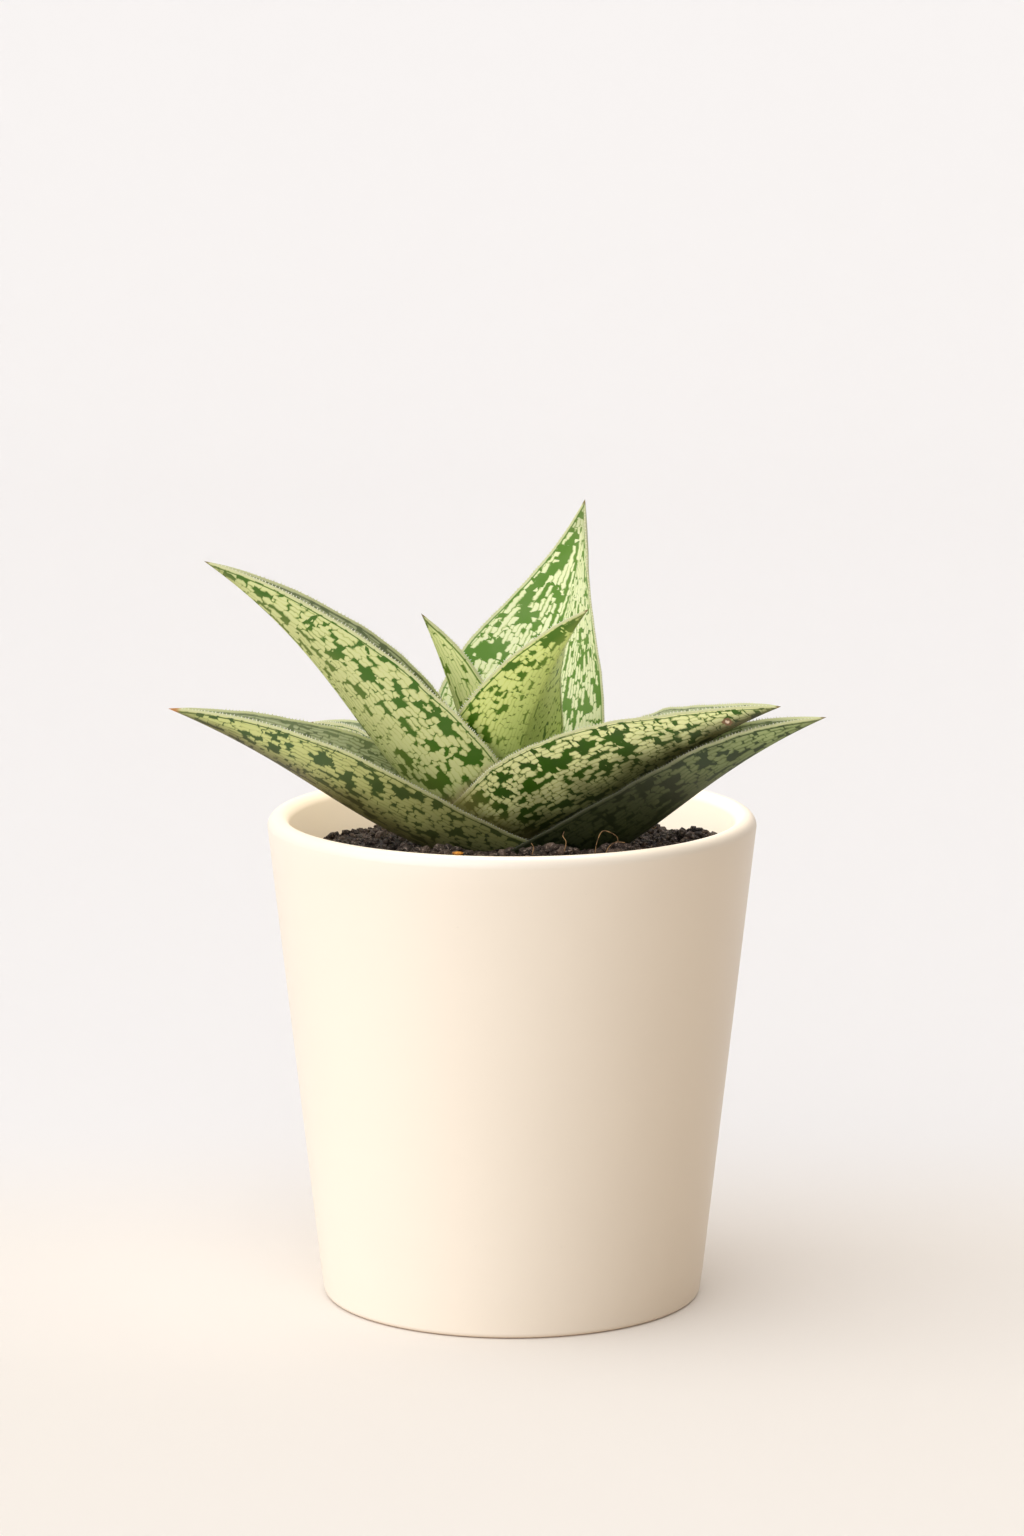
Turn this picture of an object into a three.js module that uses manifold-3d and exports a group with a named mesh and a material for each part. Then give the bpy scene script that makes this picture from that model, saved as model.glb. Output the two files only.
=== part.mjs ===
// A potted tiger aloe: a conical glazed pot filled with soil, and a rosette of folded, keeled leaves
// in three ranks on a short stem with fleshy roots.
// Millimetres, +Z up. The origin is the centre of the pot's flat underside, and the pot's axis is +Z.
// The plant faces the viewer along -Y, with +X to the viewer's right.
import * as THREE from "three";
import { mergeVertices } from "three/addons/utils/BufferGeometryUtils.js";
import Module from "manifold-3d";

const wasm = await Module();
wasm.setup();

const MERGE_DISTANCE = 1e-4; // corners nearer than this are one corner
const CLEARANCE = 0.45; // room that each piece leaves round the pieces that it meets

// Pot
const POT_HEIGHT = 130.4;
const POT_TOP_RADIUS = 65;
const POT_BASE_RADIUS = 50.7;
const POT_WALL = 5.8;
const POT_FLOOR = 6;
const FOOT_ROUNDING = 1.6;
const FLOOR_FILLET = 7;
const POT_STEPS = 56;
const FOOT_STEPS = 4;
const RIM_STEPS = 8;
const FILLET_STEPS = 6;

// Soil
const SOIL_EDGE_HEIGHT = 118.2;
const SOIL_MOUND = 4.2;
const SOIL_RINGS = 7;
const SOIL_EDGE_FADE = 8; // the higher, the nearer to the wall the clods come
const CLOD_COUNT = 120;
const CLOD_HEIGHTS = [-0.84, 1.56]; // the low ones are hollows
const CLOD_RADIUS = 4;

// Stem and roots
const STEM_RADIUS = 5.2;
const STEM_TOP_RADIUS = 3.2;
const STEM_SIDES = 14;
const STEM_BOTTOM = 100;
const STEM_TOP = 131;
const STEM_PLACE = [0.5, -0.5, 0];
const STEM_END_ARC = 60;
const STEM_END_STEPS = 3;
const ROOT_COUNT = 6;
const ROOT_RADIUS = 1.9;
const ROOT_TIP_RADIUS = 0.7;
const ROOT_STARTS = [103, 108];
const ROOT_REACHES = [25, 33];
const ROOT_DROPS = [35, 58];
const ROOT_BENDS = [-0.3, 0.3]; // radians round the stem
const ROOT_STEPS = 6;
const ROOT_SIDES = 6;

// Leaves
const ROW_LENGTH = 7; // length of leaf between two cross-sections
const TOOTH_STEPS = 6; // points along the margin in each row, in turn at a tooth's foot and its point
const TOOTH_HEIGHT = 0.5;
const EDGE_THICKNESS = 0.8;
const EDGE_REACH = 0.3;
const KEEL_POWER = 1.5; // 1 is a sharp V section, 2 a round one
const CHANNEL_POWER = 1.6;
const FLESH_BASE = 0.45; // thickness over the keel where the leaf has no width
const FLESH_PER_WIDTH = 0.135;
const CHANNEL_DEPTH = 0.65; // highest place of the channel's floor, as a share of the leaf's depth
const LEAST_FLESH = 0.6;
const OUTER_COLUMNS = [-1, -0.62, -0.3, 0, 0.3, 0.62, 1];
const INNER_COLUMNS = [-1, -0.5, 0, 0.5, 1];

// Each leaf starts at its base on the stem and runs along its keel, the fold of its outer face.
// heading is the compass angle it points to, in degrees from +X towards +Y, at its base and tip.
// rise is the slope of the keel in degrees at its base, middle and tip. halves are the widths from
// keel to margin, over the curve, at each quarter of the length, ending in a point. fold is how
// steeply the two halves stand up from the keel, and roll how far the section is turned about it,
// both at base and tip. The leaves are listed from the heart outwards.
const LEAVES = {
  leaf_heart: {
    base: [1, 1, 129], heading: [75, 60], rise: [76, 80, 82], length: 38,
    halves: [8.5, 8.5, 6.5, 3.5], fold: [48, 60], roll: [0, 0],
  },
  leaf_left_young: {
    base: [-3.8, 2.1, 126.9], heading: [201, 204], rise: [65, 72.5, 65], length: 62,
    halves: [12, 14, 11.7, 7.3], fold: [42, 52], roll: [1, 2],
  },
  leaf_front_young: {
    base: [-1.5, -3.9, 127.3], heading: [287, 310], rise: [67.5, 56, 44], length: 77.5,
    halves: [16, 20.6, 15.6, 8.5], fold: [28, 43], roll: [0, 3],
  },
  leaf_back_tall: {
    base: [2.7, 4.8, 123.2], heading: [79, 23], rise: [52, 64.5, 95], length: 96,
    halves: [23, 30, 27, 15], fold: [34, 30], roll: [0, 3],
  },
  leaf_left_inner: {
    base: [-6.3, -1.1, 116.7], heading: [202, 168], rise: [40, 54.5, 34], length: 112.5,
    halves: [20, 26, 22.3, 11.5], fold: [50, 70], roll: [1, -3],
  },
  leaf_right_inner: {
    base: [0.7, -0.4, 119.5], heading: [327.5, 324.5], rise: [23.5, 34, 24], length: 95,
    halves: [27.3, 32.3, 26.1, 12], fold: [35, 50.5], roll: [-1, -0.5],
  },
  leaf_back_middle: {
    base: [1, 2, 114], heading: [84, 74], rise: [34, 30, 10], length: 80,
    halves: [26, 24, 17, 8.5], fold: [44, 50], roll: [0, 0],
  },
  leaf_left_outer: {
    base: [-2.4, -1.8, 114.8], heading: [193, 175], rise: [14, 33, 22.5], length: 100,
    halves: [21.4, 23.7, 20.3, 11], fold: [44.5, 58.5], roll: [-12, 1],
  },
  leaf_right_outer: {
    base: [7, -8, 109.4], heading: [333.5, 337.5], rise: [27.5, 38, 26.5], length: 97.5,
    halves: [23.3, 20.7, 15.8, 9.8], fold: [43, 64], roll: [9.5, 12.5],
  },
  leaf_back_left: {
    base: [-1, 2, 113], heading: [128, 141], rise: [28, 26, 7], length: 85,
    halves: [25, 23, 16, 8], fold: [42, 48], roll: [0, 0],
  },
};

// Repeatable random numbers from 0 to 1, so that every build is the same.
function seededRandom(seed) {
  let state = seed;
  return () => {
    state = (state * 1664525 + 1013904223) % 4294967296;
    return state / 4294967296;
  };
}

// A smooth curve through evenly spaced values, read at t from 0 to 1.
function spread(values, t) {
  const spans = values.length - 1;
  const at = Math.min(Math.floor(t * spans), spans - 1);
  const u = t * spans - at;
  const slope = (i) => {
    const from = Math.max(i - 1, 0);
    const to = Math.min(i + 1, spans);
    return (values[to] - values[from]) / (to - from);
  };
  const rise = values[at + 1] - values[at];
  const startSlope = slope(at);
  const endSlope = slope(at + 1);
  const bend = 3 * rise - 2 * startSlope - endSlope;
  const twist = startSlope + endSlope - 2 * rise;
  return values[at] + u * (startSlope + u * (bend + u * twist));
}

function between([low, high], random) {
  return low + (high - low) * random();
}

function toSolid(geometry) {
  const bare = geometry.clone();
  bare.deleteAttribute("normal");
  bare.deleteAttribute("uv");
  const merged = mergeVertices(bare, MERGE_DISTANCE);
  return new wasm.Manifold(
    new wasm.Mesh({
      numProp: 3,
      vertProperties: new Float32Array(merged.attributes.position.array),
      triVerts: new Uint32Array(merged.index.array),
    }),
  );
}

function toGeometry(solid) {
  const made = solid.getMesh();
  const geometry = new THREE.BufferGeometry();
  geometry.setAttribute("position", new THREE.BufferAttribute(made.vertProperties, 3));
  geometry.setIndex(new THREE.BufferAttribute(made.triVerts, 1));
  geometry.computeVertexNormals();
  return geometry;
}

// The same shape a little larger all round, to be cut from a neighbour so that the two stay apart.
function swollen(solid) {
  const geometry = toGeometry(solid);
  const place = geometry.attributes.position;
  const normal = geometry.attributes.normal;
  for (let i = 0; i < place.count; i += 1) {
    place.setXYZ(
      i,
      place.getX(i) + normal.getX(i) * CLEARANCE,
      place.getY(i) + normal.getY(i) * CLEARANCE,
      place.getZ(i) + normal.getZ(i) * CLEARANCE,
    );
  }
  return toSolid(geometry);
}

// What is left of a solid once its neighbours' room is taken, without the loose scraps.
function clearOf(solid, neighbours) {
  const rest = neighbours.reduce((left, other) => left.subtract(other), solid);
  return rest.decompose().reduce((a, b) => (a.volume() > b.volume() ? a : b));
}

// A solid of revolution about +Z from a profile of [radius, height] points that starts and ends on
// the axis, listed from the underside outwards and over the top.
function turned(profile, steps) {
  const points = profile.map(([radius, height]) => new THREE.Vector2(radius, height));
  const geometry = new THREE.LatheGeometry(points, steps);
  geometry.rotateX(Math.PI / 2);
  return geometry;
}

// Points on an arc of a profile, both ends included.
function arc(radius, height, size, fromDegrees, toDegrees, steps) {
  return Array.from({ length: steps + 1 }, (_, i) => {
    const angle = THREE.MathUtils.degToRad(fromDegrees + ((toDegrees - fromDegrees) * i) / steps);
    return [radius + size * Math.cos(angle), height + size * Math.sin(angle)];
  });
}

// How far the straight side of the pot leans outwards, and the radius it gives inside at a height.
const rimRounding = POT_WALL / 2;
const rimHeight = POT_HEIGHT - rimRounding;
const sideSlope = (POT_TOP_RADIUS - POT_BASE_RADIUS) / rimHeight;
const innerRadius = (height) => POT_BASE_RADIUS + sideSlope * height - POT_WALL;

function potGeometry() {
  const footRadius = POT_BASE_RADIUS - FOOT_ROUNDING;
  const filletRadius = innerRadius(POT_FLOOR) - FLOOR_FILLET;
  const profile = [
    [0, 0],
    ...arc(footRadius, FOOT_ROUNDING, FOOT_ROUNDING, -90, 0, FOOT_STEPS),
    ...arc(POT_TOP_RADIUS - rimRounding, rimHeight, rimRounding, 0, 180, RIM_STEPS),
    ...arc(filletRadius, POT_FLOOR + FLOOR_FILLET, FLOOR_FILLET, 0, -90, FILLET_STEPS),
    [0, POT_FLOOR],
  ];
  return turned(profile, POT_STEPS);
}

// The top of the soil: a low mound round the plant, with clods on it.
function soilTop() {
  const random = seededRandom(11);
  const edge = innerRadius(SOIL_EDGE_HEIGHT);
  const clods = Array.from({ length: CLOD_COUNT }, () => {
    const angle = random() * 2 * Math.PI;
    const radius = Math.sqrt(random()) * edge;
    return {
      x: radius * Math.cos(angle),
      y: radius * Math.sin(angle),
      height: between(CLOD_HEIGHTS, random),
    };
  });
  return (x, y) => {
    const out = Math.min(Math.hypot(x, y) / edge, 1);
    const fade = 1 - out ** SOIL_EDGE_FADE;
    const lumps = clods.reduce((sum, clod) => {
      const away = Math.hypot(x - clod.x, y - clod.y) / CLOD_RADIUS;
      return sum + clod.height * Math.exp(-away * away);
    }, 0);
    return SOIL_EDGE_HEIGHT + SOIL_MOUND * (1 - out * out) + lumps * fade;
  };
}

function soilGeometry() {
  const filletRadius = innerRadius(POT_FLOOR) - FLOOR_FILLET;
  const edge = innerRadius(SOIL_EDGE_HEIGHT) - CLEARANCE;
  const rings = Array.from({ length: SOIL_RINGS }, (_, i) => [
    (edge * (SOIL_RINGS - i - 1)) / SOIL_RINGS,
    SOIL_EDGE_HEIGHT,
  ]);
  const profile = [
    [0, POT_FLOOR + CLEARANCE],
    ...arc(
      filletRadius, POT_FLOOR + FLOOR_FILLET, FLOOR_FILLET - CLEARANCE, -90, 0, FILLET_STEPS,
    ),
    [edge, SOIL_EDGE_HEIGHT],
    ...rings,
  ];
  const geometry = turned(profile, POT_STEPS);
  const top = soilTop();
  const place = geometry.attributes.position;
  for (let i = 0; i < place.count; i += 1) {
    if (place.getZ(i) > SOIL_EDGE_HEIGHT - CLEARANCE) {
      place.setZ(i, top(place.getX(i), place.getY(i)));
    }
  }
  return geometry;
}

// A closed tube that tapers along a curve.
function taperedTube(curve, startRadius, endRadius, steps, sides) {
  const frames = curve.computeFrenetFrames(steps, false);
  const points = [];
  const faces = [];
  for (let i = 0; i <= steps; i += 1) {
    const centre = curve.getPointAt(i / steps);
    const radius = THREE.MathUtils.lerp(startRadius, endRadius, i / steps);
    for (let j = 0; j < sides; j += 1) {
      const angle = (2 * Math.PI * j) / sides;
      const point = centre
        .clone()
        .addScaledVector(frames.normals[i], radius * Math.cos(angle))
        .addScaledVector(frames.binormals[i], radius * Math.sin(angle));
      points.push(...point.toArray());
    }
  }
  for (let i = 0; i < steps; i += 1) {
    for (let j = 0; j < sides; j += 1) {
      const a = i * sides + j;
      const b = i * sides + ((j + 1) % sides);
      faces.push(a, b, b + sides, a, b + sides, a + sides);
    }
  }
  for (let j = 1; j < sides - 1; j += 1) {
    const end = steps * sides;
    faces.push(0, j + 1, j, end, end + j, end + j + 1);
  }
  const geometry = new THREE.BufferGeometry();
  geometry.setAttribute("position", new THREE.Float32BufferAttribute(points, 3));
  geometry.setIndex(faces);
  return geometry;
}

function stemAndRoots() {
  const random = seededRandom(5);
  const profile = [
    [0, STEM_BOTTOM],
    ...arc(0, STEM_BOTTOM + STEM_RADIUS, STEM_RADIUS, -STEM_END_ARC, 0, STEM_END_STEPS),
    [STEM_RADIUS, STEM_TOP - 2 * STEM_RADIUS],
    ...arc(0, STEM_TOP - STEM_TOP_RADIUS, STEM_TOP_RADIUS, 0, STEM_END_ARC, STEM_END_STEPS),
    [0, STEM_TOP],
  ];
  const stem = turned(profile, STEM_SIDES);
  const roots = Array.from({ length: ROOT_COUNT }, (_, i) => {
    const angle = (2 * Math.PI * (i + 0.5 * random())) / ROOT_COUNT;
    const start = between(ROOT_STARTS, random);
    const reach = between(ROOT_REACHES, random);
    const drop = between(ROOT_DROPS, random);
    const bend = between(ROOT_BENDS, random);
    const at = (out, turn, down) =>
      new THREE.Vector3(
        out * Math.cos(angle + turn),
        out * Math.sin(angle + turn),
        start - down,
      );
    // From inside the stem it runs out, then bends down to its tip.
    const curve = new THREE.CatmullRomCurve3([
      at(1, 0, 0),
      at(0.45 * reach, 0, 0.12 * drop),
      at(0.85 * reach, bend, 0.45 * drop),
      at(reach, 1.6 * bend, drop),
    ]);
    return toSolid(taperedTube(curve, ROOT_RADIUS, ROOT_TIP_RADIUS, ROOT_STEPS, ROOT_SIDES));
  });
  return roots.reduce((sum, root) => sum.add(root), toSolid(stem)).translate(STEM_PLACE);
}

// The keel's points and directions at even steps, with the leaf's size there.
function keelFrames(leaf, steps) {
  const stepLength = leaf.length / steps;
  const frames = [];
  const centre = new THREE.Vector3(...leaf.base);
  for (let i = 0; i <= steps; i += 1) {
    const t = i / steps;
    const heading = THREE.MathUtils.degToRad(spread(leaf.heading, t));
    const rise = THREE.MathUtils.degToRad(spread(leaf.rise, t));
    const along = new THREE.Vector3(
      Math.cos(rise) * Math.cos(heading),
      Math.cos(rise) * Math.sin(heading),
      Math.sin(rise),
    );
    const side = new THREE.Vector3(-Math.sin(heading), Math.cos(heading), 0);
    const roll = THREE.MathUtils.degToRad(spread(leaf.roll, t));
    side.applyAxisAngle(along, roll);
    const inward = new THREE.Vector3().crossVectors(along, side);
    if (i > 0) {
      const mean = frames[i - 1].along.clone().add(along).multiplyScalar(stepLength / 2);
      centre.add(mean);
    }
    frames.push({
      centre: centre.clone(),
      along,
      side,
      inward,
      half: Math.max(spread([...leaf.halves, 0], t), 0),
      fold: THREE.MathUtils.degToRad(spread(leaf.fold, t)),
    });
  }
  return frames;
}

// One cross-section: its outer face, its inner face and its two margins, as points in space.
function crossSection(frame, tooth) {
  const width = frame.half * Math.cos(frame.fold);
  const depth = frame.half * Math.sin(frame.fold);
  const flesh = (FLESH_BASE + FLESH_PER_WIDTH * frame.half) / Math.cos(frame.fold);
  const middle = Math.min(flesh, CHANNEL_DEPTH * depth + LEAST_FLESH);
  const edgeWay = new THREE.Vector2(width, KEEL_POWER * depth).normalize();
  const innerEdge = new THREE.Vector2(
    width - edgeWay.y * EDGE_THICKNESS,
    depth + edgeWay.x * EDGE_THICKNESS,
  );
  const place = (x, y) =>
    frame.centre.clone().addScaledVector(frame.side, x).addScaledVector(frame.inward, y);
  const outer = OUTER_COLUMNS.map((v) => [width * v, depth * Math.abs(v) ** KEEL_POWER]);
  const inner = INNER_COLUMNS.map((v) => [
    innerEdge.x * v,
    middle + (innerEdge.y - middle) * Math.abs(v) ** CHANNEL_POWER,
  ]);
  const reach = EDGE_REACH + tooth;
  const edgeMiddle = EDGE_THICKNESS / 2;
  const margins = [-1, 1].map((v) => [
    v * (width - edgeWay.y * edgeMiddle + edgeWay.x * reach),
    depth + edgeWay.x * edgeMiddle + edgeWay.y * reach,
  ]);
  return { outer, inner, margins, place };
}

// A leaf as one closed solid with toothed margins.
function leafGeometry(leaf) {
  const rows = Math.round(leaf.length / ROW_LENGTH);
  const steps = rows * TOOTH_STEPS;
  const frames = keelFrames(leaf, steps);
  const lastStep = steps - TOOTH_STEPS;
  const points = [];
  const faces = [];
  const addPoint = (point) => points.push(...point.toArray()) / 3 - 1;
  const sections = frames
    .slice(0, lastStep + 1)
    .map((frame, i) => crossSection(frame, i % 2 === 1 ? TOOTH_HEIGHT : 0));
  const margins = [0, 1].map((side) =>
    sections.map(({ margins: ends, place }) => addPoint(place(...ends[side]))),
  );
  const ringsOf = (face) =>
    Array.from({ length: rows }, (_, row) => {
      const section = sections[row * TOOTH_STEPS];
      return section[face].map(([x, y]) => addPoint(section.place(x, y)));
    });
  const outer = ringsOf("outer");
  const inner = ringsOf("inner");
  const tip = addPoint(frames[steps].centre);

  // A triangle with its corners as the outer face needs them, or turned round for the inner one.
  const addFace = (a, b, c, turnedRound) =>
    turnedRound ? faces.push(a, b, c) : faces.push(a, c, b);
  const addSheet = (rings, turnedRound) => {
    rings.forEach((ring, row) => {
      for (let i = 0; i < ring.length - 1; i += 1) {
        const next = rings[row + 1];
        if (next) {
          addFace(ring[i], next[i + 1], ring[i + 1], turnedRound);
          addFace(ring[i], next[i], next[i + 1], turnedRound);
        } else {
          addFace(ring[i], tip, ring[i + 1], turnedRound);
        }
      }
    });
  };
  addSheet(outer, false);
  addSheet(inner, true);

  // The strip between a face's last column and the toothed margin.
  const addEdge = (rings, column, margin, turnedRound) => {
    rings.forEach((ring, row) => {
      const start = row * TOOTH_STEPS;
      const here = ring.at(column);
      if (row === rows - 1) {
        addFace(here, margin[start], tip, turnedRound);
        return;
      }
      const next = rings[row + 1].at(column);
      const half = TOOTH_STEPS / 2;
      for (let i = 0; i < TOOTH_STEPS; i += 1) {
        const hub = i < half ? here : next;
        addFace(hub, margin[start + i], margin[start + i + 1], turnedRound);
      }
      addFace(here, margin[start + half], next, turnedRound);
    });
  };
  addEdge(outer, 0, margins[0], false);
  addEdge(outer, -1, margins[1], true);
  addEdge(inner, 0, margins[0], true);
  addEdge(inner, -1, margins[1], false);

  // The flat end at the base.
  const base = sections[0];
  const outline = [base.margins[0], ...base.outer, base.margins[1], ...base.inner.toReversed()];
  const corners = [margins[0][0], ...outer[0], margins[1][0], ...inner[0].toReversed()];
  const flat = outline.map(([x, y]) => new THREE.Vector2(x, y));
  THREE.ShapeUtils.triangulateShape(flat, []).forEach(([a, b, c]) => {
    addFace(corners[a], corners[b], corners[c], false);
  });

  const geometry = new THREE.BufferGeometry();
  geometry.setAttribute("position", new THREE.Float32BufferAttribute(points, 3));
  geometry.setIndex(faces);
  return geometry;
}

// Every piece that grows, from the heart outwards, each cut clear of those inside it.
function growPlant() {
  const stem = stemAndRoots();
  const grown = { stem_and_roots: stem };
  const taken = [swollen(stem)];
  Object.entries(LEAVES).forEach(([name, leaf]) => {
    const whole = toSolid(leafGeometry(leaf));
    grown[name] = clearOf(whole, taken);
    taken.push(swollen(whole));
  });
  return { grown, taken };
}

function material(color, roughness) {
  return new THREE.MeshStandardMaterial({ color, roughness, metalness: 0 });
}

const glaze = material(0xf2e8d8, 0.28);
const earth = material(0x33261f, 0.95);
const rootSkin = material(0xb49a74, 0.8);
const leafSkin = material(0x7f9c57, 0.45);

function namedMesh(name, solid, surface) {
  const mesh = new THREE.Mesh(toGeometry(solid), surface);
  mesh.name = name;
  return mesh;
}

const { grown, taken } = growPlant();
const plant = new THREE.Group();
Object.entries(grown).forEach(([name, solid]) => {
  plant.add(namedMesh(name, solid, name === "stem_and_roots" ? rootSkin : leafSkin));
});

const pottedAloe = new THREE.Group();
pottedAloe.add(
  namedMesh("pot", toSolid(potGeometry()), glaze),
  namedMesh("soil", clearOf(toSolid(soilGeometry()), taken), earth),
  plant,
);

export default pottedAloe;
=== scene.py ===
import itertools
import math
import random

import bpy
import numpy as np
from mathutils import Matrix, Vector


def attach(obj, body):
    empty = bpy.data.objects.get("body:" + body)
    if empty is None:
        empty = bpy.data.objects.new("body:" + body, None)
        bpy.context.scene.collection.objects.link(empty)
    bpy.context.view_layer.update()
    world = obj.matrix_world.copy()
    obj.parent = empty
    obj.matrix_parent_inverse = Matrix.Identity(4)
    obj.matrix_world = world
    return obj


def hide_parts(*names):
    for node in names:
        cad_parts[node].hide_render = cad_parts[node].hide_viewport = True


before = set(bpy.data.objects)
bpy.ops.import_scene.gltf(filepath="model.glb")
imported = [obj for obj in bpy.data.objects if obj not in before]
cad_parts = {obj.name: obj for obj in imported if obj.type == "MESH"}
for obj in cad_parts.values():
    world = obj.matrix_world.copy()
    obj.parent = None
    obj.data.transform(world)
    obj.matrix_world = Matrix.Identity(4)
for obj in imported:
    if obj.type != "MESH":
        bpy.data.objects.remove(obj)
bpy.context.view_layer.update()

mm = 0.001


# Shader building

class Wire:
    # An output of a shader node. Python's operators join wires through Math nodes.
    def __init__(self, shader, socket):
        self.shader = shader
        self.socket = socket

    def math(self, operation, *others):
        return self.shader.math(operation, self, *others)

    def other(self, name):
        return Wire(self.shader, self.socket.node.outputs[name])

    def __add__(self, other):
        return self.shader.math("ADD", self, other)

    def __sub__(self, other):
        return self.shader.math("SUBTRACT", self, other)

    def __mul__(self, other):
        return self.shader.math("MULTIPLY", self, other)

    def __truediv__(self, other):
        return self.shader.math("DIVIDE", self, other)

    def __pow__(self, other):
        return self.shader.math("POWER", self, other)

    def __rsub__(self, other):
        return self.shader.math("SUBTRACT", other, self)

    def __rtruediv__(self, other):
        return self.shader.math("DIVIDE", other, self)

    def __rpow__(self, other):
        return self.shader.math("POWER", other, self)

    def __abs__(self):
        return self.shader.math("ABSOLUTE", self)

    __radd__ = __add__
    __rmul__ = __mul__


class Shader:
    def __init__(self, name):
        self.material = bpy.data.materials.new(name)
        self.material.use_nodes = True
        self.tree = self.material.node_tree
        self.surface = self.tree.nodes["Principled BSDF"]

    def add(self, kind, settings=None, values=None, output=0):
        node = self.tree.nodes.new(kind)
        for key, setting in (settings or {}).items():
            setattr(node, key, setting)
        for key, value in (values or {}).items():
            self.feed(node.inputs[key], value)
        return Wire(self, node.outputs[output])

    def feed(self, socket, value):
        if isinstance(value, Wire):
            self.tree.links.new(value.socket, socket)
        elif socket.type == "RGBA":
            socket.default_value = (*value, 1)
        else:
            socket.default_value = value

    def finish(self, **values):
        # Feeds the surface's sockets and gives the material
        for key, value in values.items():
            self.feed(self.surface.inputs[key.replace("_", " ")], value)
        return self.material

    def math(self, operation, *values):
        return self.add("ShaderNodeMath", {"operation": operation}, dict(enumerate(values)))

    def attribute(self, name, output="Fac"):
        return self.add("ShaderNodeAttribute", {"attribute_name": name}, output=output)

    def split(self, vector):
        first = self.add("ShaderNodeSeparateXYZ", {}, {0: vector})
        return first, first.other("Y"), first.other("Z")

    def join(self, x, y, z=0.0):
        return self.add("ShaderNodeCombineXYZ", {}, {0: x, 1: y, 2: z})

    def step(self, value, low, high):
        # 0 below low, 1 above high and smooth between
        settings = {"interpolation_type": "SMOOTHSTEP"}
        return self.add("ShaderNodeMapRange", settings, {0: value, 1: low, 2: high})

    def fall(self, value, low, high):
        return 1.0 - self.step(value, low, high)

    def noise(self, place, scale, detail=2.0, roughness=0.5, output=0):
        values = {"Vector": place, "Scale": scale, "Detail": detail, "Roughness": roughness}
        return self.add("ShaderNodeTexNoise", {}, values, output)

    def scatter(self, place):
        # Three random numbers for each whole place
        settings = {"noise_dimensions": "2D"}
        return self.split(self.add("ShaderNodeTexWhiteNoise", settings, {"Vector": place}, "Color"))

    def distance(self, place, point):
        settings = {"operation": "DISTANCE"}
        return self.add("ShaderNodeVectorMath", settings, {0: place, 1: point}, "Value")

    def mix(self, factor, low, high):
        settings = {"data_type": "RGBA"}
        return self.add("ShaderNodeMix", settings, {0: factor, 6: low, 7: high}, output=2)

    def bump(self, height, distance, strength=1.0):
        values = {"Height": height, "Distance": distance, "Strength": strength}
        return self.add("ShaderNodeBump", {}, values)

    def position(self):
        return self.add("ShaderNodeNewGeometry", output="Position")


# Mesh building

def makeMesh(name, points, faces, material):
    mesh = bpy.data.meshes.new(name)
    mesh.from_pydata(points, [], faces)
    mesh.validate()
    mesh.polygons.foreach_set("use_smooth", np.ones(len(mesh.polygons), bool))
    mesh.materials.append(material)
    piece = bpy.data.objects.new(name, mesh)
    bpy.context.scene.collection.objects.link(piece)
    return piece


def makePiece(name, points, faces, material, replaced=None):
    piece = makeMesh(name, points, faces, material)
    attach(piece, "root")
    if replaced:
        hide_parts(replaced)
    return piece


def setAttribute(piece, name, values):
    values = np.asarray(values, np.float32)
    kind, key = ("FLOAT_VECTOR", "vector") if values.ndim == 2 else ("FLOAT", "value")
    piece.data.attributes.new(name, kind, "POINT").data.foreach_set(key, values.ravel())


def spread(values, t):
    # A smooth curve through evenly spaced values, read at t from 0 to 1
    values = np.asarray(values, float)
    spans = len(values) - 1
    slopes = np.gradient(values)
    place = np.clip(t, 0, 1) * spans
    at = np.minimum(place.astype(int), spans - 1)
    u = place - at
    rise = values[at + 1] - values[at]
    bend = 3 * rise - 2 * slopes[at] - slopes[at + 1]
    twist = slopes[at] + slopes[at + 1] - 2 * rise
    return values[at] + u * (slopes[at] + u * (bend + u * twist))


def arc(radius, height, size, start, end, steps):
    angles = np.radians(np.linspace(start, end, steps + 1))
    return [(radius + size * math.cos(a), height + size * math.sin(a)) for a in angles]


def turn(profile, steps):
    # Points and faces of a profile turned about the Z axis. It starts and ends on the axis.
    rings = profile[1:-1]
    points = [(0, 0, profile[0][1]), (0, 0, profile[-1][1])]
    for radius, height in rings:
        for j in range(steps):
            angle = 2 * math.pi * j / steps
            points.append((radius * math.cos(angle), radius * math.sin(angle), height))
    faces = []
    last = 2 + (len(rings) - 1) * steps
    for j in range(steps):
        k = (j + 1) % steps
        faces.append((0, 2 + k, 2 + j))
        faces.append((1, last + j, last + k))
        for i in range(len(rings) - 1):
            low = 2 + i * steps
            faces.append((low + j, low + k, low + steps + k, low + steps + j))
    return points, faces


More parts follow.
